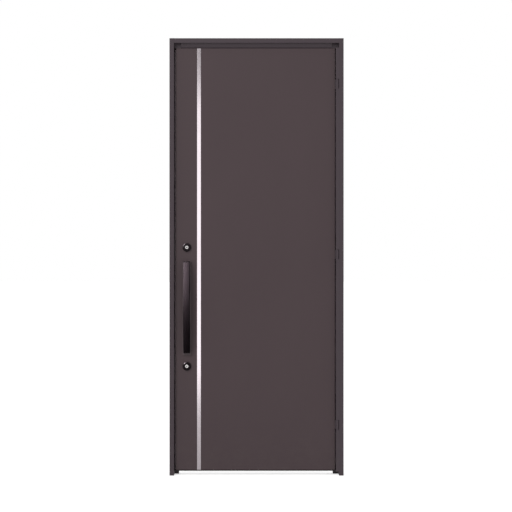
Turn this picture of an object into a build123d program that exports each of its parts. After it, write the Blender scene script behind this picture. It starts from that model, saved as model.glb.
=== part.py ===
from build123d import *
import os

os.makedirs("parts", exist_ok=True)

# X runs across the doorway, Y from outside to inside, Z up from the underside of the sill.

# Frame
frame_width = 928
frame_height = 2330
frame_depth = 100
frame_edge_r = 1
leg_drop = 21.5
jamb_face = 24
section_wall = 2.5
stop_set_back = 73
latch_stop_width = 23
hinge_stop_width = 30
head_lip = 25
head_strip_set_back = 16
head_strip_drop = 50.2
head_pocket_width = 36
stop_overlap = 12
sill_ledge = 5
sill_upstand = 24
fixing_hole_r = 3.25
fixing_access_r = 6
fixing_inset = 9
fixing_end = 355
fixing_count = 4

# Leaf
latch_gap = 9.5
hinge_gap = 21
leaf_set_back = 21.5
leaf_thickness = 42
leaf_clearance = 5.5
skin = 2
skin_lip_top = 4
skin_lip_bottom = 3.5
edge_profile = 25
skin_edge_r = 1.2

# Vertical metal moulding in the outer face
moulding_offset = 113
moulding_width = 20
moulding_dome = 0.8
moulding_groove = 1

# Gaskets
gasket_width = 9
gasket_base = 4
gasket_inset = 1
gasket_flange = 2
seal_gap = 0.3

# Hinges and the cover strip between them
hinge_end_distance = 212
cover_width = 17
cover_depth = 15
cover_r = 3
knuckle_r = 7.5
knuckle_height = 50
knuckle_side_gap = 0.8
hinge_seam = 1
hinge_plate = 4
hinge_plate_depth = 34
hinge_arm = 6
pin_r = 3.5
pin_height = 40
pin_end_gap = 2
pin_fit = 0.3
rest_gap = 0.3

# Locks
lock_backset = 58.5
lock_margin_up = 73
lock_margin_down = 57.5
collar_r = 22.5
collar_height = 13
collar_bevel = 4
plug_r = 9
plug_length = 30
plug_recess = 1
plug_fit = 0.5
keyway_width = 2.2
keyway_height = 8
keyway_depth = 6
faceplate_length = 180
faceplate_width = 24
faceplate_thickness = 3
faceplate_r = 3
bolt_height = 40
bolt_thickness = 12
bolt_length = 45
bolt_recess = 0.5
strike_length = 160
strike_width = 28
strike_thickness = 2
strike_play = 2
rose_width = 46
rose_corner_r = 4
rose_height = 8
turn_length = 36
turn_width = 11
turn_corner_r = 2
turn_height = 18

# Outside handle
handle_height = 869.5
base_length = 504
base_width = 46
base_thickness = 6
base_corner_r = 4
base_edge = 1
bar_width = 35
bar_top_margin = 1.5
bar_bottom_margin = 13.5
bow_end = 26
bow_rise = 36
bow_crown = 2.4
bar_edge_r = 2.5
bar_end_bevel = 5
grip_length = 210
grip_depth = 42
foot_gap = 1.5
pivot_r = 4
pivot_wall = 6
pivot_rise = 22
lug_width = 14
lug_gap = 1.5
tongue_width = 18
tongue_height = 26
tongue_depth = 24
tongue_drop = 24
tongue_side_gap = 3
tongue_end_gap = 4

# Inside handle
inside_base_length = 330
inside_bar_length = 300
inside_bar_width = 28
inside_grip_length = 190
inside_edge_r = 2

# Positions that follow from the sizes above
front_y = -frame_depth / 2
back_y = frame_depth / 2
jamb_out = frame_width / 2
jamb_in = jamb_out - jamb_face
head_top = frame_height - leg_drop
stop_y = front_y + stop_set_back
stop_depth = back_y - stop_y
stop_mid_y = (stop_y + back_y) / 2
strip_y = front_y + head_strip_set_back
lip_z = head_top - head_lip
strip_z = head_top - head_strip_drop
leaf_left = -jamb_in + latch_gap
leaf_right = jamb_in - hinge_gap
leaf_front = front_y + leaf_set_back
leaf_back = leaf_front + leaf_thickness
leaf_bottom = sill_ledge + leaf_clearance
leaf_top = strip_z - leaf_clearance
leaf_width = leaf_right - leaf_left
leaf_height = leaf_top - leaf_bottom
leaf_mid_x = (leaf_left + leaf_right) / 2
leaf_mid_z = (leaf_bottom + leaf_top) / 2
core_front = leaf_front + skin
core_back = leaf_back - skin
core_mid_y = (core_front + core_back) / 2
core_depth = core_back - core_front
recess_y = core_front + leaf_clearance
skin_bottom = leaf_bottom - skin_lip_bottom
skin_height = leaf_top + skin_lip_top - skin_bottom
skin_mid_z = skin_bottom + skin_height / 2
head_stop_z = leaf_top - stop_overlap
moulding_left = leaf_left + moulding_offset
moulding_right = moulding_left + moulding_width
moulding_mid_x = (moulding_left + moulding_right) / 2
hinge_x = jamb_in - knuckle_side_gap - knuckle_r
hinge_y = front_y + knuckle_r
cover_x = jamb_in - cover_width / 2
cover_y = front_y + cover_depth / 2
hinge_low_z = leaf_bottom + hinge_end_distance
hinge_high_z = leaf_top - hinge_end_distance
hinge_centres = {"lower": hinge_low_z, "middle": (hinge_low_z + hinge_high_z) / 2, "upper": hinge_high_z}
lock_x = leaf_left + lock_backset
base_top = handle_height + base_length / 2
base_bottom = handle_height - base_length / 2
lock_heights = {"upper": base_top + lock_margin_up, "lower": base_bottom - lock_margin_down}
collar_bore_r = plug_r + plug_fit
base_front = leaf_front - base_thickness
bar_top = base_top - bar_top_margin
bar_bottom = base_bottom + bar_bottom_margin
bar_mid_z = (bar_top + bar_bottom) / 2
bow_end_y = base_front - bow_end
bow_mid_y = bow_end_y - bow_rise
bow_r = ((bar_top - bar_bottom) / 2) ** 2 / (2 * bow_rise) + bow_rise / 2
bow_centre_y = bow_mid_y + bow_r
pivot_z = bar_bottom + pivot_rise
lug_r = pivot_r + pivot_wall
pivot_y = base_front - lug_r
tongue_z = bar_top - tongue_drop
slot_width = tongue_width + 2 * tongue_side_gap
slot_height = tongue_height + 2 * tongue_end_gap


# Head: front lip, a soffit that slopes back behind the top of the leaf, and the stop behind it.
# It is hollow between its solid ends, and at each end the recess keeps its full depth up to the lip.
with BuildPart() as head:
    with BuildSketch(Plane.YZ):
        with BuildLine():
            Polyline(
                (front_y, head_top),
                (back_y, head_top),
                (back_y, head_stop_z),
                (stop_y, head_stop_z),
                (stop_y, strip_z),
                (recess_y, strip_z),
                (strip_y, lip_z),
                (front_y, lip_z),
                close=True,
            )
        make_face()
        fillet(vertices().group_by(Axis.X)[0], frame_edge_r)
    extrude(amount=jamb_in, both=True)
    with BuildSketch(Plane.YZ):
        with BuildLine():
            Polyline(
                (back_y - section_wall, head_top - section_wall),
                (back_y - section_wall, head_stop_z + section_wall),
                (stop_y + section_wall, head_stop_z + section_wall),
                (stop_y + section_wall, strip_z + section_wall),
                (recess_y + section_wall, strip_z + section_wall),
                (strip_y + section_wall, lip_z + section_wall),
                (strip_y + section_wall, head_top - section_wall),
                close=True,
            )
        make_face()
    extrude(amount=jamb_in - head_pocket_width - section_wall, both=True, mode=Mode.SUBTRACT)
    with BuildSketch(Plane.XY.offset(strip_z)):
        pocket_x = jamb_in - head_pocket_width / 2
        with Locations((-pocket_x, strip_y), (pocket_x, strip_y)):
            Rectangle(head_pocket_width, recess_y - strip_y, align=(Align.CENTER, Align.MIN))
    extrude(amount=lip_z - strip_z, mode=Mode.SUBTRACT)
    with BuildSketch(Plane.XY.offset(head_stop_z)):
        with Locations((-jamb_in + latch_stop_width / 2, stop_mid_y)):
            Rectangle(latch_stop_width, stop_depth)
        with Locations((jamb_in - hinge_stop_width / 2, stop_mid_y)):
            Rectangle(hinge_stop_width, stop_depth)
    extrude(amount=head_top - head_stop_z, mode=Mode.SUBTRACT)
head.part.label = "frame_head"
export_step(head.part, "parts/frame_head.step")

# Jambs: a hollow web against the wall and a hollow stop behind the leaf
fixing_y = stop_y - fixing_inset
fixing_pitch = (frame_height - 2 * fixing_end) / (fixing_count - 1)
both_walls = 2 * section_wall
for side, name, stop_width in (
    (-1, "frame_jamb_latch_side", latch_stop_width),
    (1, "frame_jamb_hinge_side", hinge_stop_width),
):
    web_x = side * (jamb_in + jamb_face / 2)
    back_width = jamb_face + stop_width
    back_x = side * (jamb_out - back_width / 2)
    with BuildPart() as jamb:
        with BuildSketch(Plane.XY.offset(-leg_drop)):
            with Locations((web_x, 0)):
                Rectangle(jamb_face, frame_depth)
            with Locations((back_x, stop_mid_y)):
                Rectangle(back_width, stop_depth)
            fillet(vertices().group_by(Axis.Y)[0], frame_edge_r)
            with Locations((web_x, (front_y + stop_y) / 2)):
                Rectangle(jamb_face - both_walls, stop_set_back - both_walls, mode=Mode.SUBTRACT)
            with Locations((back_x, stop_mid_y)):
                Rectangle(back_width - both_walls, stop_depth - both_walls, mode=Mode.SUBTRACT)
        extrude(amount=frame_height)
        for face_x, hole_r in ((jamb_out, fixing_hole_r), (jamb_in + section_wall, fixing_access_r)):
            hole_centre = (side * face_x, fixing_y, frame_height / 2 - leg_drop)
            with BuildSketch(Plane(hole_centre, x_dir=(0, 1, 0), z_dir=(side, 0, 0))):
                with GridLocations(0, fixing_pitch, 1, fixing_count):
                    Circle(hole_r)
            extrude(amount=-section_wall, mode=Mode.SUBTRACT)
    jamb.part.label = name
    export_step(jamb.part, f"parts/{name}.step")

# Sill: a low ledge under the leaf, set back behind its outer skin, and an upstand behind it
with BuildPart() as sill:
    with BuildSketch(Plane.YZ):
        with BuildLine():
            Polyline(
                (recess_y, 0),
                (back_y, 0),
                (back_y, sill_upstand),
                (stop_y, sill_upstand),
                (stop_y, sill_ledge),
                (recess_y, sill_ledge),
                close=True,
            )
        make_face()
        fillet(vertices().group_by(Axis.X)[0].sort_by(Axis.Y)[-1], frame_edge_r)
        fillet(vertices().group_by(Axis.Y)[-1], frame_edge_r)
    extrude(amount=jamb_in, both=True)
    with BuildSketch(Plane.XY):
        with Locations((-jamb_in + latch_stop_width / 2, stop_mid_y)):
            Rectangle(latch_stop_width, stop_depth)
        with Locations((jamb_in - hinge_stop_width / 2, stop_mid_y)):
            Rectangle(hinge_stop_width, stop_depth)
    extrude(amount=sill_upstand, mode=Mode.SUBTRACT)
sill.part.label = "frame_sill"
export_step(sill.part, "parts/frame_sill.step")

# Gaskets: D-shaped strips just clear of the back of the leaf, each with a flange that lines the stop
gasket_front = leaf_back + seal_gap
gasket_reach = stop_y - gasket_front
gasket_centre_inset = gasket_width / 2 + gasket_inset
latch_gasket_x = leaf_left + gasket_centre_inset
hinge_gasket_x = leaf_right - gasket_centre_inset
head_gasket_z = leaf_top - gasket_centre_inset
sill_gasket_z = leaf_bottom + gasket_centre_inset
gasket_start_x = latch_gasket_x - gasket_width / 2
gasket_span_x = hinge_gasket_x + gasket_width / 2 - gasket_start_x
gasket_low = sill_gasket_z + gasket_width / 2 + rest_gap
gasket_high = head_gasket_z - gasket_width / 2 - rest_gap
gasket_runs = {
    "gasket_latch_side": (
        Plane((latch_gasket_x, gasket_front, gasket_low)),
        gasket_high - gasket_low,
        rest_gap - jamb_in - latch_gasket_x,
    ),
    "gasket_hinge_side": (
        Plane((hinge_gasket_x, gasket_front, gasket_low)),
        gasket_high - gasket_low,
        jamb_in - rest_gap - hinge_gasket_x,
    ),
    "gasket_head": (
        Plane((gasket_start_x, gasket_front, head_gasket_z), x_dir=(0, 0, -1), z_dir=(1, 0, 0)),
        gasket_span_x,
        head_gasket_z + rest_gap - strip_z,
    ),
    "gasket_sill": (
        Plane((gasket_start_x, gasket_front, sill_gasket_z), x_dir=(0, 0, -1), z_dir=(1, 0, 0)),
        gasket_span_x,
        sill_gasket_z - rest_gap - sill_ledge,
    ),
}
for name, (gasket_plane, gasket_length, flange_end) in gasket_runs.items():
    with BuildPart() as gasket:
        with BuildSketch(gasket_plane):
            with BuildLine():
                base_line = Polyline(
                    (-gasket_width / 2, gasket_reach - gasket_base),
                    (-gasket_width / 2, gasket_reach),
                    (gasket_width / 2, gasket_reach),
                    (gasket_width / 2, gasket_reach - gasket_base),
                )
                ThreePointArc(base_line @ 1, (0, 0), base_line @ 0)
            make_face()
            with Locations((flange_end / 2, gasket_reach)):
                Rectangle(abs(flange_end), gasket_flange, align=(Align.CENTER, Align.MAX))
        extrude(amount=gasket_length)
    gasket.part.label = name
    export_step(gasket.part, f"parts/{name}.step")

# Strike plates on the inner face of the latch jamb
for name, z in lock_heights.items():
    with BuildPart() as strike:
        with BuildSketch(Plane((-jamb_in, core_mid_y, z), x_dir=(0, 1, 0), z_dir=(1, 0, 0))):
            RectangleRounded(strike_width, strike_length, faceplate_r)
            Rectangle(bolt_thickness + strike_play, bolt_height + strike_play, mode=Mode.SUBTRACT)
        extrude(amount=strike_thickness)
    strike.part.label = f"strike_plate_{name}"
    export_step(strike.part, f"parts/strike_plate_{name}.step")

# Hinge covers: strips of the hinge jamb between the hinges, flush with its front
cover_ends = [0]
for z in hinge_centres.values():
    cover_ends += [z - knuckle_height, z + rest_gap + knuckle_height + hinge_seam]
cover_ends += [strip_z]
for i, name in enumerate(("bottom", "lower", "upper", "top")):
    with BuildPart() as cover:
        with BuildSketch(Plane((cover_x, cover_y, cover_ends[2 * i]))):
            Rectangle(cover_width, cover_depth)
            fillet(vertices().group_by(Axis.X)[0], cover_r)
        extrude(amount=cover_ends[2 * i + 1] - cover_ends[2 * i])
    cover.part.label = f"hinge_cover_{name}"
    export_step(cover.part, f"parts/hinge_cover_{name}.step")

# Hinges: the lower half carries on the cover strip and holds the pin, the upper half turns with the leaf
arm_x = hinge_x - knuckle_r / 2
leaf_plate_y = leaf_front + hinge_plate
for name, z in hinge_centres.items():
    with BuildPart() as frame_half:
        with BuildSketch(Plane((cover_x, cover_y, z - knuckle_height))):
            Rectangle(cover_width, cover_depth)
            fillet(vertices().group_by(Axis.X)[0], cover_r)
            with Locations((cover_width / 2, -cover_depth / 2)):
                Rectangle(hinge_plate, cover_depth + hinge_plate_depth, align=(Align.MAX, Align.MIN))
        extrude(amount=knuckle_height)
        with BuildSketch(Plane((hinge_x, hinge_y, z))):
            Circle(pin_r)
        extrude(amount=pin_height)
    frame_half.part.label = f"hinge_{name}_frame_side"
    export_step(frame_half.part, f"parts/hinge_{name}_frame_side.step")

    with BuildPart() as leaf_half:
        with BuildSketch(Plane((hinge_x, hinge_y, z + rest_gap))):
            Rectangle(knuckle_r, knuckle_r, align=(Align.MAX, Align.MAX))
            fillet(vertices().sort_by(Axis.X)[:2].sort_by(Axis.Y)[0], cover_r)
            Circle(knuckle_r)
            with Locations((arm_x - hinge_x, 0)):
                Rectangle(hinge_arm, leaf_plate_y - hinge_y, align=(Align.CENTER, Align.MIN))
            with Locations((leaf_right - hinge_x, leaf_plate_y - hinge_y)):
                Rectangle(arm_x + hinge_arm / 2 - leaf_right, hinge_plate, align=(Align.MIN, Align.MAX))
                Rectangle(hinge_plate, hinge_plate_depth, align=(Align.MIN, Align.MIN))
        extrude(amount=knuckle_height)
        with BuildSketch(Plane((hinge_x, hinge_y, z + rest_gap))):
            Circle(pin_r + pin_fit)
        extrude(amount=pin_height + pin_end_gap, mode=Mode.SUBTRACT)
    leaf_half.part.label = f"hinge_{name}_leaf_side"
    export_step(leaf_half.part, f"parts/hinge_{name}_leaf_side.step")

# Leaf edge profiles between the skins
rail_length = leaf_width - 2 * edge_profile
for name, x, width, z, height in (
    ("leaf_latch_stile", leaf_left + edge_profile / 2, edge_profile, leaf_mid_z, leaf_height),
    ("leaf_hinge_stile", leaf_right - edge_profile / 2, edge_profile, leaf_mid_z, leaf_height),
    ("leaf_top_rail", leaf_mid_x, rail_length, leaf_top - edge_profile / 2, edge_profile),
    ("leaf_bottom_rail", leaf_mid_x, rail_length, leaf_bottom + edge_profile / 2, edge_profile),
):
    with BuildPart() as profile:
        with BuildSketch(Plane((x, core_back, z), x_dir=(1, 0, 0), z_dir=(0, -1, 0))):
            Rectangle(width, height)
        extrude(amount=core_depth)
        if name == "leaf_latch_stile":
            for lock_z in lock_heights.values():
                with BuildSketch(Plane((leaf_left, core_mid_y, lock_z), x_dir=(0, 1, 0), z_dir=(1, 0, 0))):
                    RectangleRounded(faceplate_width, faceplate_length, faceplate_r)
                extrude(amount=faceplate_thickness, mode=Mode.SUBTRACT)
                with BuildSketch(Plane((leaf_left, core_mid_y, lock_z), x_dir=(0, 1, 0), z_dir=(1, 0, 0))):
                    Rectangle(bolt_thickness, bolt_height)
                extrude(amount=edge_profile, mode=Mode.SUBTRACT)
    profile.part.label = name
    export_step(profile.part, f"parts/{name}.step")

# Leaf core: fills the leaf between the skins, with room for the locks and the handle tongue
with BuildPart() as core:
    with BuildSketch(Plane((leaf_mid_x, core_back, leaf_mid_z), x_dir=(1, 0, 0), z_dir=(0, -1, 0))):
        Rectangle(rail_length, leaf_height - 2 * edge_profile)
    extrude(amount=core_depth)
    for lock_z in lock_heights.values():
        with BuildSketch(Plane((lock_x, core_front, lock_z), z_dir=(0, 1, 0))):
            Circle(collar_bore_r)
        extrude(amount=plug_length, mode=Mode.SUBTRACT)
        bolt_pocket_centre = (leaf_left + edge_profile, core_mid_y, lock_z)
        with BuildSketch(Plane(bolt_pocket_centre, x_dir=(0, 1, 0), z_dir=(1, 0, 0))):
            Rectangle(bolt_thickness, bolt_height)
        extrude(amount=bolt_length - edge_profile, mode=Mode.SUBTRACT)
    with BuildSketch(Plane((lock_x, core_front, tongue_z), x_dir=(1, 0, 0), z_dir=(0, 1, 0))):
        Rectangle(slot_width, slot_height)
    extrude(amount=tongue_depth + tongue_end_gap, mode=Mode.SUBTRACT)
core.part.label = "leaf_core"
export_step(core.part, "parts/leaf_core.step")

# Outer skin: two sheets, one at each side of the moulding, with lips past the top and bottom of the leaf
with BuildPart() as narrow_panel:
    narrow_mid_x = (leaf_left + moulding_left - moulding_groove) / 2
    with BuildSketch(Plane((narrow_mid_x, core_front, skin_mid_z), x_dir=(1, 0, 0), z_dir=(0, -1, 0))):
        Rectangle(moulding_left - moulding_groove - leaf_left, skin_height)
        with Locations(*[(lock_x - narrow_mid_x, z - skin_mid_z) for z in lock_heights.values()]):
            Circle(collar_bore_r, mode=Mode.SUBTRACT)
        with Locations((lock_x - narrow_mid_x, tongue_z - skin_mid_z)):
            Rectangle(slot_width, slot_height, mode=Mode.SUBTRACT)
    extrude(amount=skin)
    narrow_edges = narrow_panel.faces().sort_by(Axis.Y)[0].edges().filter_by(Axis.Z)
    fillet(narrow_edges.sort_by(Axis.X)[0], skin_edge_r)
narrow_panel.part.label = "leaf_outer_panel_narrow"
export_step(narrow_panel.part, "parts/leaf_outer_panel_narrow.step")

with BuildPart() as wide_panel:
    wide_mid_x = (moulding_right + moulding_groove + leaf_right) / 2
    with BuildSketch(Plane((wide_mid_x, core_front, skin_mid_z), x_dir=(1, 0, 0), z_dir=(0, -1, 0))):
        Rectangle(leaf_right - moulding_right - moulding_groove, skin_height)
    extrude(amount=skin)
    wide_edges = wide_panel.faces().sort_by(Axis.Y)[0].edges().filter_by(Axis.Z)
    fillet(wide_edges.sort_by(Axis.X)[-1], skin_edge_r)
wide_panel.part.label = "leaf_outer_panel_wide"
export_step(wide_panel.part, "parts/leaf_outer_panel_wide.step")

# Inner skin: one sheet
with BuildPart() as inner_panel:
    with BuildSketch(Plane((leaf_mid_x, leaf_back, leaf_mid_z), x_dir=(1, 0, 0), z_dir=(0, -1, 0))):
        Rectangle(leaf_width, leaf_height)
    extrude(amount=skin)
    fillet(inner_panel.faces().sort_by(Axis.Y)[-1].edges().filter_by(Axis.Z), skin_edge_r)
inner_panel.part.label = "leaf_inner_panel"
export_step(inner_panel.part, "parts/leaf_inner_panel.step")

# Moulding: a shallow dome standing a little proud of the skins
with BuildPart() as moulding:
    with BuildSketch(Plane((0, 0, skin_bottom))):
        with BuildLine():
            seat_line = Polyline(
                (moulding_left, leaf_front),
                (moulding_left, core_front),
                (moulding_right, core_front),
                (moulding_right, leaf_front),
            )
            ThreePointArc(seat_line @ 1, (moulding_mid_x, leaf_front - moulding_dome), seat_line @ 0)
        make_face()
    extrude(amount=skin_height)
moulding.part.label = "leaf_accent_moulding"
export_step(moulding.part, "parts/leaf_accent_moulding.step")

# Locks: faceplate and drawn-back bolt in the edge, collar and turning plug outside, thumbturn inside
plug_face_y = leaf_front - collar_height + plug_recess
for name, z in lock_heights.items():
    with BuildPart() as faceplate:
        with BuildSketch(Plane((leaf_left, core_mid_y, z), x_dir=(0, 1, 0), z_dir=(1, 0, 0))):
            RectangleRounded(faceplate_width, faceplate_length, faceplate_r)
            Rectangle(bolt_thickness, bolt_height, mode=Mode.SUBTRACT)
        extrude(amount=faceplate_thickness)
    faceplate.part.label = f"lock_faceplate_{name}"
    export_step(faceplate.part, f"parts/lock_faceplate_{name}.step")

    with BuildPart() as bolt:
        with BuildSketch(Plane((leaf_left + bolt_recess, core_mid_y, z), x_dir=(0, 1, 0), z_dir=(1, 0, 0))):
            Rectangle(bolt_thickness - 2 * rest_gap, bolt_height - 2 * rest_gap)
        extrude(amount=bolt_length - 2 * bolt_recess)
    bolt.part.label = f"deadbolt_{name}"
    export_step(bolt.part, f"parts/deadbolt_{name}.step")

    with BuildPart() as collar:
        with BuildSketch(Plane((lock_x, leaf_front, z), z_dir=(0, -1, 0))):
            Circle(collar_r)
            Circle(collar_bore_r, mode=Mode.SUBTRACT)
        extrude(amount=collar_height)
        chamfer(collar.faces().sort_by(Axis.Y)[0].outer_wire().edges(), collar_bevel)
    collar.part.label = f"lock_collar_{name}"
    export_step(collar.part, f"parts/lock_collar_{name}.step")

    with BuildPart() as plug:
        with BuildSketch(Plane((lock_x, plug_face_y, z), z_dir=(0, 1, 0))):
            Circle(plug_r)
        extrude(amount=plug_length)
        with BuildSketch(Plane((lock_x, plug_face_y, z), x_dir=(1, 0, 0), z_dir=(0, 1, 0))):
            SlotOverall(keyway_height, keyway_width, rotation=90)
        extrude(amount=keyway_depth, mode=Mode.SUBTRACT)
    plug.part.label = f"lock_plug_{name}"
    export_step(plug.part, f"parts/lock_plug_{name}.step")

    with BuildPart() as rose:
        with BuildSketch(Plane((lock_x, leaf_back, z), x_dir=(1, 0, 0), z_dir=(0, 1, 0))):
            RectangleRounded(rose_width, rose_width, rose_corner_r)
        extrude(amount=rose_height)
    rose.part.label = f"thumbturn_rose_{name}"
    export_step(rose.part, f"parts/thumbturn_rose_{name}.step")

    with BuildPart() as turn:
        with BuildSketch(Plane((lock_x, leaf_back + rose_height, z), x_dir=(1, 0, 0), z_dir=(0, 1, 0))):
            RectangleRounded(turn_width, turn_length, turn_corner_r)
        extrude(amount=turn_height)
    turn.part.label = f"thumbturn_{name}"
    export_step(turn.part, f"parts/thumbturn_{name}.step")

# Outside handle base: a slim plate with a slot for the tongue and a lug for the pivot
with BuildPart() as handle_base:
    with BuildSketch(Plane((lock_x, leaf_front, handle_height), x_dir=(1, 0, 0), z_dir=(0, -1, 0))):
        RectangleRounded(base_width, base_length, base_corner_r)
    extrude(amount=base_thickness)
    chamfer(handle_base.faces().sort_by(Axis.Y)[0].edges(), base_edge)
    with BuildSketch(Plane((lock_x, leaf_front, tongue_z), x_dir=(1, 0, 0), z_dir=(0, -1, 0))):
        Rectangle(slot_width, slot_height)
    extrude(amount=base_thickness, mode=Mode.SUBTRACT)
    with BuildSketch(Plane((lock_x, pivot_y, pivot_z), x_dir=(0, 1, 0), z_dir=(1, 0, 0))):
        Circle(lug_r)
        Rectangle(lug_r, 2 * lug_r, align=(Align.MIN, Align.CENTER))
    extrude(amount=lug_width / 2, both=True)
    with BuildSketch(Plane((lock_x, pivot_y, pivot_z), x_dir=(0, 1, 0), z_dir=(1, 0, 0))):
        Circle(pivot_r + pin_fit)
    extrude(amount=lug_width / 2, both=True, mode=Mode.SUBTRACT)
handle_base.part.label = "outside_handle_base"
export_step(handle_base.part, "parts/outside_handle_base.step")

# Outside handle: a bowed bar with a crowned front and bevelled ends, its feet, pivot pin and guide tongue
with BuildPart() as handle:
    with BuildSketch(Plane((lock_x, 0, 0), x_dir=(0, 1, 0), z_dir=(1, 0, 0))):
        with BuildLine():
            top_foot = Polyline(
                (base_front - rest_gap, bar_mid_z + grip_length / 2),
                (base_front - rest_gap, bar_top),
                (bow_end_y, bar_top),
            )
            bottom_foot = Polyline(
                (bow_end_y, bar_bottom),
                (base_front - foot_gap, bar_bottom),
                (base_front - foot_gap, bar_mid_z - grip_length / 2),
            )
            ThreePointArc(top_foot @ 1, (bow_mid_y, bar_mid_z), bottom_foot @ 0)
            ThreePointArc(bottom_foot @ 1, (base_front - grip_depth, bar_mid_z), top_foot @ 0)
        make_face()
    extrude(amount=bar_width / 2, both=True)
    with BuildSketch(Plane((lock_x, bow_centre_y, bar_mid_z), x_dir=(1, 0, 0), z_dir=(0, 0, -1))):
        with BuildLine():
            bar_sides = Polyline(
                (bar_width / 2, bow_r - bow_crown),
                (bar_width / 2, bow_r - 2 * (bow_end + bow_rise)),
                (-bar_width / 2, bow_r - 2 * (bow_end + bow_rise)),
                (-bar_width / 2, bow_r - bow_crown),
            )
            ThreePointArc(bar_sides @ 1, (0, bow_r), bar_sides @ 0)
        make_face()
        fillet(vertices().group_by(Axis.Y)[-1], bar_edge_r)
    revolve(axis=Axis((lock_x, bow_centre_y, bar_mid_z), (1, 0, 0)), mode=Mode.INTERSECT)
    with BuildSketch(Plane((lock_x, 0, 0), x_dir=(0, 1, 0), z_dir=(1, 0, 0))):
        with Locations((bow_end_y, bar_top), (bow_end_y, bar_bottom)):
            RegularPolygon(bar_end_bevel, 4)
    extrude(amount=bar_width / 2, both=True, mode=Mode.SUBTRACT)
    with BuildSketch(Plane((lock_x, base_front, pivot_z), x_dir=(1, 0, 0), z_dir=(0, -1, 0))):
        Rectangle(lug_width + 2 * lug_gap, 2 * (lug_r + lug_gap))
    extrude(amount=2 * lug_r + lug_gap, mode=Mode.SUBTRACT)
    with BuildSketch(Plane((lock_x, pivot_y, pivot_z), x_dir=(0, 1, 0), z_dir=(1, 0, 0))):
        Circle(pivot_r)
    extrude(amount=lug_width / 2 + 2 * lug_gap, both=True)
    with BuildSketch(Plane((lock_x, base_front - foot_gap, tongue_z), x_dir=(1, 0, 0), z_dir=(0, 1, 0))):
        Rectangle(tongue_width, tongue_height)
    extrude(amount=foot_gap + base_thickness + tongue_depth)
handle.part.label = "outside_pull_handle"
export_step(handle.part, "parts/outside_pull_handle.step")

# Inside handle: a plate and a fixed bowed bar
with BuildPart() as inside_base:
    with BuildSketch(Plane((lock_x, leaf_back, handle_height), x_dir=(1, 0, 0), z_dir=(0, 1, 0))):
        RectangleRounded(base_width, inside_base_length, base_corner_r)
    extrude(amount=base_thickness)
    chamfer(inside_base.faces().sort_by(Axis.Y)[-1].edges(), base_edge)
inside_base.part.label = "inside_handle_base"
export_step(inside_base.part, "parts/inside_handle_base.step")

with BuildPart() as inside_bar:
    inside_front = leaf_back + base_thickness
    with BuildSketch(Plane((lock_x, 0, handle_height), x_dir=(0, 1, 0), z_dir=(1, 0, 0))):
        with BuildLine():
            inside_top = Polyline(
                (inside_front, inside_grip_length / 2),
                (inside_front, inside_bar_length / 2),
                (inside_front + bow_end, inside_bar_length / 2),
            )
            inside_bottom = Polyline(
                (inside_front + bow_end, -inside_bar_length / 2),
                (inside_front, -inside_bar_length / 2),
                (inside_front, -inside_grip_length / 2),
            )
            ThreePointArc(inside_top @ 1, (inside_front + bow_end + bow_rise, 0), inside_bottom @ 0)
            ThreePointArc(inside_bottom @ 1, (inside_front + grip_depth, 0), inside_top @ 0)
        make_face()
    extrude(amount=inside_bar_width / 2, both=True)
    chamfer(inside_bar.faces().sort_by(Axis.Y)[-1].edges(), inside_edge_r)
inside_bar.part.label = "inside_handle_bar"
export_step(inside_bar.part, "parts/inside_handle_bar.step")
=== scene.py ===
import math

import bmesh
import bpy
from mathutils import Matrix, Vector


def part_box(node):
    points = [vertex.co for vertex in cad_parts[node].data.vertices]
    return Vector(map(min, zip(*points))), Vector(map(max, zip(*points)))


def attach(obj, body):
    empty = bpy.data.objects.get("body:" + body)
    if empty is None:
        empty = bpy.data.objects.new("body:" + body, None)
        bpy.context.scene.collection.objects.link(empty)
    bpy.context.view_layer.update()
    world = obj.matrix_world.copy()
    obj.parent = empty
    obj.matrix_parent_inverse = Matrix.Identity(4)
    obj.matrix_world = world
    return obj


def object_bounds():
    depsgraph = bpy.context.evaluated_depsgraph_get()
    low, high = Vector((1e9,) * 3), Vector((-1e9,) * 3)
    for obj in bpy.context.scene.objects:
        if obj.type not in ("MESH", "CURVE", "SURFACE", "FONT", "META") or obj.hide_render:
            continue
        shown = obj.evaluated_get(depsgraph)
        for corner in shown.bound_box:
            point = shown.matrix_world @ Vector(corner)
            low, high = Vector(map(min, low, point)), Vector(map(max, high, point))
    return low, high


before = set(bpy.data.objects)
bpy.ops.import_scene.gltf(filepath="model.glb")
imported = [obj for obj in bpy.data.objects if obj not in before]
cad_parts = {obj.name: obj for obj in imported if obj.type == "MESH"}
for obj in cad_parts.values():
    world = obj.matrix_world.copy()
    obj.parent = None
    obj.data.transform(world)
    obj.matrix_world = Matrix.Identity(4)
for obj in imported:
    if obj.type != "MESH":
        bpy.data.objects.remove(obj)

MM = 0.001
WHITE = (1.0, 1.0, 1.0)
cad_low, cad_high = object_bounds()


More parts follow.
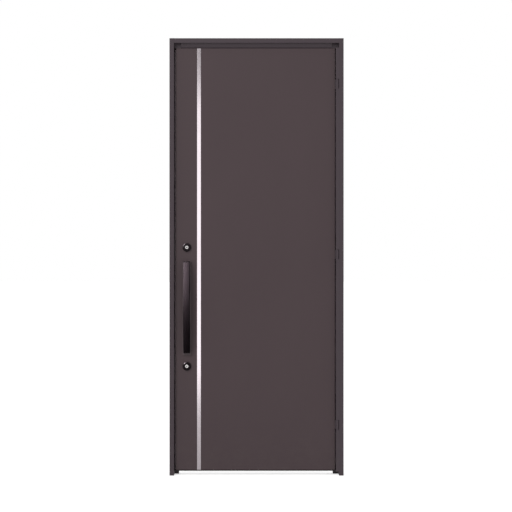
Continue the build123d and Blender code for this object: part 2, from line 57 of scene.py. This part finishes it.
# Node materials. Sizes are in metres of the object's own space, so the pattern moves with its body.
class Look:
    def __init__(self, name, metallic=0.0, specular=0.5, tint=WHITE):
        self.material = bpy.data.materials.new(name)
        self.material.use_nodes = True
        self.nodes = self.material.node_tree.nodes
        self.links = self.material.node_tree.links
        self.shader = self.nodes["Principled BSDF"]
        self.shader.inputs["Metallic"].default_value = metallic
        self.shader.inputs["Specular IOR Level"].default_value = specular
        self.shader.inputs["Specular Tint"].default_value = (*tint, 1.0)
        self.space = self.add("ShaderNodeTexCoord").outputs["Object"]

    def add(self, kind, **values):
        node = self.nodes.new(kind)
        for key, value in values.items():
            setattr(node, key, value)
        return node

    def wire(self, source, node, socket):
        self.links.new(source, node.inputs[socket])

    def noise(self, grain, detail, offset=(0, 0, 0)):
        """Cloudy values, 0 to 1; grain is the size of a cloud along X, Y and Z."""
        mapping = self.add("ShaderNodeMapping")
        mapping.inputs["Scale"].default_value = [1 / g for g in grain]
        mapping.inputs["Location"].default_value = offset
        self.wire(self.space, mapping, "Vector")
        texture = self.add("ShaderNodeTexNoise")
        texture.inputs["Scale"].default_value = 1.0
        texture.inputs["Detail"].default_value = detail
        self.wire(mapping.outputs["Vector"], texture, "Vector")
        return texture.outputs["Fac"]

    def ranged(self, source, from_low, from_high, to_low=0.0, to_high=1.0):
        """Maps one range of values onto another and stops at its ends."""
        node = self.add("ShaderNodeMapRange")
        ends = {"From Min": from_low, "From Max": from_high, "To Min": to_low, "To Max": to_high}
        for socket, value in ends.items():
            node.inputs[socket].default_value = value
        self.wire(source, node, "Value")
        return node.outputs["Result"]

    def axis(self, letter):
        node = self.add("ShaderNodeSeparateXYZ")
        self.wire(self.space, node, "Vector")
        return node.outputs[letter]

    def maths(self, operation, first, second=None):
        """One sum; first and second are numbers or outputs of other nodes."""
        node = self.add("ShaderNodeMath", operation=operation)
        for i, value in enumerate((first, second)):
            if value is None:
                continue
            if isinstance(value, (int, float)):
                node.inputs[i].default_value = value
            else:
                self.wire(value, node, i)
        return node.outputs["Value"]

    def blend(self, amount, first, second):
        """Mixes two colours, each a tuple or another colour output."""
        first_colour_socket, second_colour_socket, result_socket = 6, 7, 2
        node = self.add("ShaderNodeMix", data_type="RGBA")
        self.wire(amount, node, "Factor")
        for socket, value in ((first_colour_socket, first), (second_colour_socket, second)):
            if isinstance(value, tuple):
                node.inputs[socket].default_value = (*value, 1.0)
            else:
                self.wire(value, node, socket)
        return node.outputs[result_socket]

    def edges(self, radius):
        """1 on sharp outer edges and 0 on flat faces."""
        flat_turn, sharp_turn = 0.02, 0.16
        bevel = self.add("ShaderNodeBevel", samples=4)
        bevel.inputs["Radius"].default_value = radius
        flat = self.add("ShaderNodeNewGeometry").outputs["Normal"]
        dot = self.add("ShaderNodeVectorMath", operation="DOT_PRODUCT")
        self.wire(bevel.outputs["Normal"], dot, 0)
        self.wire(flat, dot, 1)
        turn = self.maths("SUBTRACT", 1.0, dot.outputs["Value"])
        return self.ranged(turn, flat_turn, sharp_turn)

    def color(self, source):
        self.wire(source, self.shader, "Base Color")

    def roughness(self, source, smoothest, roughest):
        usual_low, usual_high = 0.25, 0.75
        self.wire(self.ranged(source, usual_low, usual_high, smoothest, roughest), self.shader, "Roughness")

    def bump(self, source, height):
        """Relief of that height, in metres."""
        node = self.add("ShaderNodeBump")
        node.inputs["Strength"].default_value = 1.0
        node.inputs["Distance"].default_value = height
        self.wire(source, node, "Height")
        self.wire(node.outputs["Normal"], self.shader, "Normal")


def darker(colour, share):
    return tuple(c * share for c in colour)


def painted(name, light, dark, grain, rough, relief, specular=0.2, tint=WHITE, edge=None, edge_radius=0.0005,
            dust=0.0):
    """Paint or foil on metal: faint clouds, a fine grain, pale worn edges and a little dust low down."""
    cloud_size = (0.35, 0.35, 0.7)
    grain_share, grain_shade = 0.22, 0.72
    dust_size, dust_height, dust_colour = (0.05, 0.05, 0.03), 0.22, (0.16, 0.14, 0.12)
    wear_size = (0.012, 0.012, 0.012)
    smear_size = (0.02, 0.02, 0.05)

    look = Look(name, specular=specular, tint=tint)
    clouds = look.noise(cloud_size, 3.0)
    fine = look.noise(grain, 3.0, (0.3, 0.1, 0.7))
    colour = look.blend(look.ranged(clouds, 0.3, 0.7), dark, light)
    colour = look.blend(look.ranged(fine, 0.2, 0.8, 0.0, grain_share), colour, darker(dark, grain_shade))
    if dust:
        low_down = look.ranged(look.axis("Z"), 0.0, dust_height, 1.0, 0.0)
        patches = look.ranged(look.noise(dust_size, 5.0), 0.42, 0.75)
        amount = look.maths("MULTIPLY", look.maths("MULTIPLY", low_down, patches), dust)
        colour = look.blend(amount, colour, dust_colour)
    if edge:
        patches = look.ranged(look.noise(wear_size, 3.0), 0.35, 0.62)
        colour = look.blend(look.maths("MULTIPLY", look.edges(edge_radius), patches), colour, edge)
    look.color(colour)
    look.roughness(look.noise(smear_size, 4.0, (0.9, 0.2, 0.4)), *rough)
    look.bump(fine, relief)
    return look.material


def brushed(name, light, dark, streak, rough, relief, metallic=1.0):
    """Bare metal with fine drawn or ground lines; streak is the size of a line along X, Y and Z."""
    cloud_size = (0.03, 0.03, 0.08)
    cloud_share, cloud_shade = 0.25, 0.8

    look = Look(name, metallic=metallic)
    lines = look.noise(streak, 4.0)
    clouds = look.noise(cloud_size, 3.0, (0.5, 0.5, 0.1))
    colour = look.blend(look.ranged(lines, 0.25, 0.75), dark, light)
    colour = look.blend(look.ranged(clouds, 0.45, 0.8, 0.0, cloud_share), colour, darker(dark, cloud_shade))
    look.color(colour)
    look.roughness(lines, *rough)
    look.bump(lines, relief)
    return look.material


def turned(name, centres, light, dark, rough, pitch, relief, core, rim):
    """Bright metal faced on a lathe: rings round the nearer of the centres, which lie on lines along Y, with a
    black disc round the keyway that is painted shade for the keyway, and a blackened border beyond the rim."""
    smear_size = (0.006, 0.006, 0.006)
    smear_share, smear_shade = 0.3, 0.75
    black_share = 0.97
    keyway_shade_fade, rim_fade = 0.94, 0.98
    keyway_shade_colour, border_colour = (0.012, 0.01, 0.011), (0.014, 0.011, 0.012)

    look = Look(name, metallic=1.0)
    distances = []
    for x, z in centres:
        dx = look.maths("SUBTRACT", look.axis("X"), x)
        dz = look.maths("SUBTRACT", look.axis("Z"), z)
        squares = look.maths("ADD", look.maths("MULTIPLY", dx, dx), look.maths("MULTIPLY", dz, dz))
        distances.append(look.maths("SQRT", squares))
    radius = distances[0]
    for other in distances[1:]:
        radius = look.maths("MINIMUM", radius, other)
    rings = look.maths("SINE", look.maths("MULTIPLY", radius, 2 * math.pi / pitch))
    smears = look.noise(smear_size, 3.0)
    colour = look.blend(look.ranged(rings, -1.0, 1.0), dark, light)
    colour = look.blend(look.ranged(smears, 0.5, 0.8, 0.0, smear_share), colour, darker(dark, smear_shade))
    # Painted shade: inside the core radius the colour goes black, standing in for the shade of the keyway.
    colour = look.blend(look.ranged(radius, core * keyway_shade_fade, core, black_share, 0.0), colour, keyway_shade_colour)
    colour = look.blend(look.ranged(radius, rim * rim_fade, rim, 0.0, black_share), colour, border_colour)
    look.color(colour)
    look.roughness(smears, *rough)
    look.bump(rings, relief)
    return look.material


def rubber(name, light, dark):
    """Matt rubber with a paler bloom in patches."""
    bloom_share = 0.5
    look = Look(name, specular=0.35)
    fine = look.noise((0.0008, 0.0008, 0.004), 3.0)
    bloom = look.noise((0.02, 0.02, 0.1), 4.0, (0.2, 0.6, 0.3))
    look.color(look.blend(look.ranged(bloom, 0.45, 0.75, 0.0, bloom_share), dark, light))
    look.roughness(fine, 0.5, 0.72)
    look.bump(fine, 0.00004)
    return look.material


def foam(name, light, dark):
    """Rigid foam with small round cells."""
    cells_per_metre = 900.0
    look = Look(name, specular=0.3)
    cells = look.add("ShaderNodeTexVoronoi")
    cells.inputs["Scale"].default_value = cells_per_metre
    look.wire(look.space, cells, "Vector")
    distance = cells.outputs["Distance"]
    look.color(look.blend(distance, dark, light))
    look.roughness(distance, 0.8, 0.95)
    look.bump(distance, 0.0002)
    return look.material


def low(node):
    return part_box(node)[0]


def high(node):
    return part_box(node)[1]


def middle(node):
    return (low(node) + high(node)) / 2


plug_centres = [(middle(n).x, middle(n).z) for n in ("lock_plug_upper", "lock_plug_lower")]
gloss_tint = (1.0, 0.8, 0.9)

# One look for each material slot of the part
looks = {
    "leaf_skin": painted(
        "leaf_foil", light=(0.062, 0.043, 0.047), dark=(0.058, 0.040, 0.044),
        grain=(0.0006, 0.0006, 0.012), rough=(0.42, 0.52), relief=0.00003, dust=0.06),
    "frame_metal": painted(
        "frame_coating", light=(0.057, 0.0428, 0.0505), dark=(0.053, 0.0398, 0.0465),
        grain=(0.0007, 0.0007, 0.0012), rough=(0.4, 0.5), relief=0.00004,
        edge=(0.085, 0.075, 0.078), dust=0.08),
    "hinge_metal": painted(
        "hinge_coating", light=(0.055, 0.0415, 0.0485), dark=(0.051, 0.0385, 0.0455),
        grain=(0.0006, 0.0006, 0.0006), rough=(0.38, 0.48), relief=0.00003,
        edge=(0.085, 0.075, 0.078)),
    "sill_metal": painted(
        "sill_coating", light=(0.036, 0.029, 0.032), dark=(0.030, 0.024, 0.027),
        grain=(0.02, 0.0007, 0.0007), rough=(0.36, 0.5), relief=0.00004,
        edge=(0.1, 0.09, 0.09), dust=0.15),
    # Painted light: the handle plate is a lighter colour than its paint, to make up for the shade that the
    # pull bar casts on it.
    "handle_base_metal": painted(
        "handle_plate_coating_lightened_against_shade", light=(0.078, 0.059, 0.064), dark=(0.072, 0.054, 0.059),
        grain=(0.0005, 0.0005, 0.0005), rough=(0.36, 0.46), relief=0.00002,
        edge=(0.08, 0.07, 0.07)),
    "lock_black": painted(
        "lock_black_coating", light=(0.003, 0.002, 0.0024), dark=(0.002, 0.0013, 0.0016),
        grain=(0.0004, 0.0004, 0.0004), rough=(0.3, 0.38), relief=0.00002,
        edge=(0.03, 0.028, 0.028), specular=0.07, tint=gloss_tint),
    "handle_black": painted(
        "handle_black_coating", light=(0.0018, 0.0011, 0.0014), dark=(0.001, 0.0005, 0.0008),
        grain=(0.0005, 0.0005, 0.002), rough=(0.34, 0.42), relief=0.00002,
        edge=(0.02, 0.018, 0.018), edge_radius=0.0006, specular=0.016, tint=gloss_tint),
    "moulding_metal": brushed(
        "moulding_drawn_metal", light=(0.335, 0.3, 0.318), dark=(0.28, 0.25, 0.265),
        streak=(0.0004, 0.0004, 0.06), rough=(0.16, 0.22), relief=0.00001),
    "edge_metal": brushed(
        "edge_dark_metal", light=(0.075, 0.066, 0.068), dark=(0.055, 0.048, 0.05),
        streak=(0.0006, 0.0006, 0.12), rough=(0.36, 0.46), relief=0.00002, metallic=0.6),
    "lock_steel": brushed(
        "lock_brushed_steel", light=(0.56, 0.55, 0.53), dark=(0.42, 0.41, 0.4),
        streak=(0.0004, 0.0004, 0.03), rough=(0.26, 0.38), relief=0.00001),
    # core is the radius of the black disc of painted keyway shade round each plug's keyway.
    "plug_metal": turned(
        "plug_turned_metal", plug_centres, light=(0.74, 0.71, 0.72), dark=(0.54, 0.51, 0.52),
        rough=(0.22, 0.34), pitch=0.0007, relief=0.000012, core=0.0034, rim=0.0087),
    # Painted light: the gasket rubber is made pale so the deep gaps round the leaf, where it shows, look less
    # shaded than they are.
    "gasket_rubber": rubber("gasket_rubber_lightened_against_gap_shade", light=(0.56, 0.47, 0.495), dark=(0.5, 0.412, 0.44)),
    "core_foam": foam("core_rigid_foam", light=(0.07, 0.064, 0.066), dark=(0.045, 0.04, 0.042)),
}

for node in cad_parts.values():
    for held in node.material_slots:
        held.material = looks[held.material.name]


# Small parts that sit on the bodies
def keep(name, mesh, place, body, slot):
    piece = bpy.data.objects.new(name, mesh)
    bpy.context.scene.collection.objects.link(piece)
    piece.matrix_world = place
    if not mesh.materials:
        mesh.materials.append(looks[slot])
    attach(piece, body)


def facing(point, direction, turn=0.0):
    """A place whose own Z points along direction, turned about it by an angle in radians."""
    spin = Vector(direction).to_track_quat("Z", "Y").to_matrix().to_4x4()
    return Matrix.Translation(point) @ spin @ Matrix.Rotation(turn, 4, "Z")


def circle(build, segments, radius, height):
    """Vertices on a circle round Z, each as high as height(x, y) says."""
    angles = [2 * math.pi * k / segments for k in range(segments)]
    spots = [(radius * math.cos(a), radius * math.sin(a)) for a in angles]
    return [build.verts.new((x, y, height(x, y))) for x, y in spots]


def bridge(build, loops):
    """Faces between each circle and the next."""
    for inner, outer in zip(loops, loops[1:]):
        for k in range(len(inner)):
            n = (k + 1) % len(inner)
            build.faces.new((inner[k], outer[k], outer[n], inner[n]))


def finished(build, name):
    mesh = bpy.data.meshes.new(name)
    build.to_mesh(mesh)
    build.free()
    return mesh


def screw_mesh(name, radius, rise, recess_depth):
    """A countersunk head: a low dome with a cross recess, and a skirt that goes down into its seat."""
    segments, rings = 48, 16
    arm_half_width, arm_length = radius * 0.17, radius * 0.62
    skirt_share, skirt_depth = 0.98, 0.3 * radius
    end_depth_share, slope = 0.45, 1.6

    def height(x, y):
        dome = rise * (1 - (math.hypot(x, y) / radius) ** 2)
        if min(abs(x), abs(y)) < arm_half_width and max(abs(x), abs(y)) < arm_length:
            fade = 1 - max(abs(x), abs(y)) / arm_length
            return dome - recess_depth * (end_depth_share + (1 - end_depth_share) * min(1.0, fade * slope))
        return dome

    build = bmesh.new()
    centre = build.verts.new((0, 0, height(0, 0)))
    loops = [circle(build, segments, radius * i / rings, height) for i in range(1, rings + 1)]
    for k in range(segments):
        build.faces.new((centre, loops[0][k], loops[0][(k + 1) % segments]))
    edge = loops[-1]
    loops.append([build.verts.new((v.co.x * skirt_share, v.co.y * skirt_share, -skirt_depth)) for v in edge])
    bridge(build, loops)
    build.faces.new(reversed(loops[-1]))
    bmesh.ops.recalc_face_normals(build, faces=build.faces)
    return finished(build, name)


def turned_mesh(name, profile):
    """A closed ring swept round its own Z from (radius, height) points in millimetres, smooth all round."""
    segments = 96
    build = bmesh.new()
    loops = [circle(build, segments, r * MM, lambda x, y, level=h * MM: level) for r, h in profile]
    bridge(build, loops + loops[:1])
    bmesh.ops.recalc_face_normals(build, faces=build.faces)
    for face in build.faces:
        face.smooth = True
    return finished(build, name)


def corner_mesh(name, width, height, thickness, border, rise):
    """A flat pad with a raised middle and rounded edges; its front looks along its own Z."""
    build = bmesh.new()
    bmesh.ops.create_cube(build, size=1.0)
    bmesh.ops.scale(build, vec=(width, height, thickness), verts=build.verts)
    front = max(build.faces, key=lambda face: face.calc_center_median().z)
    bmesh.ops.inset_individual(build, faces=[front], thickness=border, depth=rise)
    bmesh.ops.bevel(build, geom=build.edges[:], offset=rise / 2, segments=2, affect="EDGES")
    return finished(build, name)


screw_4 = screw_mesh("screw_head_4", radius=4 * MM, rise=0.35 * MM, recess_depth=1.5 * MM)
screw_35 = screw_mesh("screw_head_3_5", radius=3.5 * MM, rise=0.3 * MM, recess_depth=1.3 * MM)

# The cross of the first screw of each kind is turned by this angle in radians, and the next by one radian more
first_turn = {
    "hinge_leaf": 0.4, "hinge_frame": 0.7, "faceplate": 0.3, "strike": 0.9, "rose": 0.2, "handle": 0.5,
}

# Hinge plate screws, two on each plate, on the faces that meet when the leaf is shut
hinge_plate = 4 * MM
knuckle_height = 50 * MM
screw_shares = (0.25, 0.75)
for level in ("lower", "middle", "upper"):
    plate = f"hinge_{level}_leaf_side"
    face_x = low(plate).x + hinge_plate
    mid_y = (high(plate).y + low("leaf_outer_panel_wide").y) / 2
    for i, share in enumerate(screw_shares):
        z = low(plate).z + share * (high(plate).z - low(plate).z)
        place = facing((face_x, mid_y, z), (1, 0, 0), first_turn["hinge_leaf"] + i)
        keep(f"hinge_{level}_leaf_screw_{i}", screw_4, place, "leaf", "lock_steel")
    plate = f"hinge_{level}_frame_side"
    face_x = high(plate).x - hinge_plate
    mid_y = (high(plate).y + high("hinge_cover_top").y) / 2
    for i, share in enumerate(screw_shares):
        z = low(plate).z + share * knuckle_height
        place = facing((face_x, mid_y, z), (-1, 0, 0), first_turn["hinge_frame"] + i)
        keep(f"hinge_{level}_frame_screw_{i}", screw_4, place, "frame", "lock_steel")

# Lock plate screws in the leaf edge and strike screws in the jamb, each this far from the middle of its plate
faceplate_screw_reach = 78 * MM
strike_screw_reach = 66 * MM
for level in ("upper", "lower"):
    plate = f"lock_faceplate_{level}"
    strike = f"strike_plate_{level}"
    for i, side in enumerate((-1, 1)):
        point = (low(plate).x, middle(plate).y, middle(plate).z + side * faceplate_screw_reach)
        place = facing(point, (-1, 0, 0), first_turn["faceplate"] + i)
        keep(f"faceplate_{level}_screw_{i}", screw_35, place, "leaf", "lock_steel")
        point = (high(strike).x, middle(strike).y, middle(strike).z + side * strike_screw_reach)
        place = facing(point, (1, 0, 0), first_turn["strike"] + i)
        keep(f"strike_{level}_screw_{i}", screw_35, place, "frame", "lock_steel")

# Rings on the lock plugs: a rounded rim and a small collar round the keyway
rim = turned_mesh("plug_rim", [
    (7.0, -0.3), (7.0, 0.12), (7.25, 0.3), (7.7, 0.38), (8.15, 0.3), (8.4, 0.12), (8.4, -0.3)])
key_ring = turned_mesh("plug_key_ring", [
    (4.5, -0.3), (4.5, 0.22), (4.7, 0.4), (5.05, 0.45), (5.4, 0.3), (5.6, 0.05), (5.6, -0.3)])
for level in ("upper", "lower"):
    plug = f"lock_plug_{level}"
    place = facing((middle(plug).x, low(plug).y, middle(plug).z), (0, -1, 0))
    keep(f"lock_plug_rim_{level}", rim, place, f"plug_{level}", "lock_steel")
    keep(f"lock_plug_key_ring_{level}", key_ring, place, f"plug_{level}", "lock_steel")

# Moulded corners that join the flanges of the gaskets on the face of the stops. Their pale gasket colour is
# painted light: it lightens the shade in the corners of the gap.
pad, pad_border, pad_rise = 1.6 * MM, 2 * MM, 0.5 * MM
for side in ("latch", "hinge"):
    run = f"gasket_{side}_side"
    if side == "latch":
        start_x, end_x = low(run).x, low("gasket_head").x
    else:
        start_x, end_x = high("gasket_head").x, high(run).x
    for level in ("head", "sill"):
        cross = f"gasket_{level}"
        if level == "head":
            start_z, end_z = high(run).z, high(cross).z
        else:
            start_z, end_z = low(cross).z, low(run).z
        name = f"gasket_corner_{side}_{level}"
        mesh = corner_mesh(name, end_x - start_x, end_z - start_z, pad, pad_border, pad_rise)
        point = ((start_x + end_x) / 2, high(cross).y - pad / 2, (start_z + end_z) / 2)
        keep(name, mesh, facing(point, (0, -1, 0)), "frame", "gasket_rubber")

# Inside: screws in the thumbturn roses and the handle plate, each this far from the middle
rose_screw_reach = 17 * MM
handle_screw_reach = 157.5 * MM
for level in ("upper", "lower"):
    rose = f"thumbturn_rose_{level}"
    for i, side in enumerate((-1, 1)):
        point = (middle(rose).x + side * rose_screw_reach, high(rose).y, middle(rose).z)
        place = facing(point, (0, 1, 0), first_turn["rose"] + i)
        keep(f"rose_{level}_screw_{i}", screw_35, place, "leaf", "lock_black")
plate = "inside_handle_base"
for i, side in enumerate((-1, 1)):
    point = (middle(plate).x, high(plate).y, middle(plate).z + side * handle_screw_reach)
    place = facing(point, (0, 1, 0), first_turn["handle"] + i)
    keep(f"inside_handle_screw_{i}", screw_35, place, "leaf", "lock_black")


# Floor, light and camera
def seen_directly(nodes, links):
    """1 for what the camera, mirrors and glass see, and 0 for the light that falls on matt things."""
    paths = nodes.new("ShaderNodeLightPath")
    value = paths.outputs["Is Camera Ray"]
    for ray in ("Is Glossy Ray", "Is Transmission Ray"):
        either = nodes.new("ShaderNodeMath")
        either.operation = "MAXIMUM"
        links.new(value, either.inputs[0])
        links.new(paths.outputs[ray], either.inputs[1])
        value = either.outputs["Value"]
    return value


def floor_material():
    """Pale matt floor that keeps the shadow, lifted towards white in what the camera and mirrors see of it."""
    pale, lift_strength = (0.8, 0.8, 0.8, 1.0), 0.62
    material = bpy.data.materials.new("pale_floor")
    material.use_nodes = True
    nodes, links = material.node_tree.nodes, material.node_tree.links
    nodes.remove(nodes["Principled BSDF"])
    lift = nodes.new("ShaderNodeMath")
    lift.operation = "MULTIPLY"
    lift.inputs[1].default_value = lift_strength
    links.new(seen_directly(nodes, links), lift.inputs[0])
    glow = nodes.new("ShaderNodeEmission")
    links.new(lift.outputs["Value"], glow.inputs["Strength"])
    matt = nodes.new("ShaderNodeBsdfDiffuse")
    matt.inputs["Color"].default_value = pale
    both = nodes.new("ShaderNodeAddShader")
    links.new(matt.outputs["BSDF"], both.inputs[0])
    links.new(glow.outputs["Emission"], both.inputs[1])
    links.new(both.outputs["Shader"], nodes["Material Output"].inputs["Surface"])
    return material


floor_reach = 60.0
floor_gap = 0.5 * MM
corners = [(x * floor_reach, y * floor_reach, 0) for x, y in ((-1, -1), (1, -1), (1, 1), (-1, 1))]
floor_mesh = bpy.data.meshes.new("floor")
floor_mesh.from_pydata(corners, [], [(0, 1, 2, 3)])
floor_mesh.materials.append(floor_material())
floor = bpy.data.objects.new("floor", floor_mesh)
floor.location.z = cad_low.z - floor_gap
bpy.context.scene.collection.objects.link(floor)

world = bpy.data.worlds.new("studio")
bpy.context.scene.world = world
world.use_nodes = True
nodes, links = world.node_tree.nodes, world.node_tree.links
strength = nodes.new("ShaderNodeMapRange")
strength.inputs["To Min"].default_value = 0.73
strength.inputs["To Max"].default_value = 1.0
links.new(seen_directly(nodes, links), strength.inputs["Value"])
background = nodes["Background"]
background.inputs["Color"].default_value = (*WHITE, 1.0)
links.new(strength.outputs["Result"], background.inputs["Strength"])


def lamp(name, place, target, width, height, power, seen_in=None):
    """A soft box. With seen_in it is a reflector card: it shows only in the gloss of those nodes."""
    light = bpy.data.lights.new(name, "AREA")
    light.shape = "RECTANGLE"
    light.size = width
    light.size_y = height
    light.energy = power
    thing = bpy.data.objects.new(name, light)
    aim = (Vector(target) - Vector(place)).to_track_quat("-Z", "Y").to_matrix().to_4x4()
    thing.matrix_world = Matrix.Translation(place) @ aim
    thing.visible_camera = False
    if seen_in:
        thing.visible_diffuse = False
        shown = bpy.data.collections.new(name + "_shows_in")
        for node in seen_in:
            shown.objects.link(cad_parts[node])
        thing.light_linking.receiver_collection = shown
    bpy.context.scene.collection.objects.link(thing)


handle = ("outside_pull_handle",)
collars = ("lock_collar_upper", "lock_collar_lower")
moulding = ("leaf_accent_moulding",)
lamp("key_light", (-5.0, -8.5, 6.5), (0, 0, 1.15), 4.5, 4.5, 490)
lamp("handle_card_left", (-1.84, -2.18, 2.42), (-0.37, 0, 0.87), 2.9, 2.8, 2350, handle)
lamp("handle_card_right", (0.0, -2.6, 2.42), (-0.37, 0, 0.87), 1.78, 2.8, 760, handle)
lamp("handle_card_edge", (-2.6, -1.2, 2.5), (-0.37, -0.06, 1.0), 1.4, 1.4, 1600, handle)
lamp("lock_card", (-1.9, -0.95, 2.5), (-0.37, -0.03, 1.0), 1.2, 1.2, 1700, collars)
lamp("moulding_card", (-0.27, -3.0, 1.26), (-0.27, 0, 1.26), 2.8, 2.26, 47, moulding)

camera_data = bpy.data.cameras.new("camera")
camera_data.sensor_width = 36
camera_data.lens = 105.6
camera = bpy.data.objects.new("camera", camera_data)
camera.location = (-0.0029, -8.05, 1.1483)
camera.rotation_euler = (math.radians(90), 0, 0)
bpy.context.scene.collection.objects.link(camera)
bpy.context.scene.camera = camera
bpy.context.scene.view_settings.view_transform = "Standard"
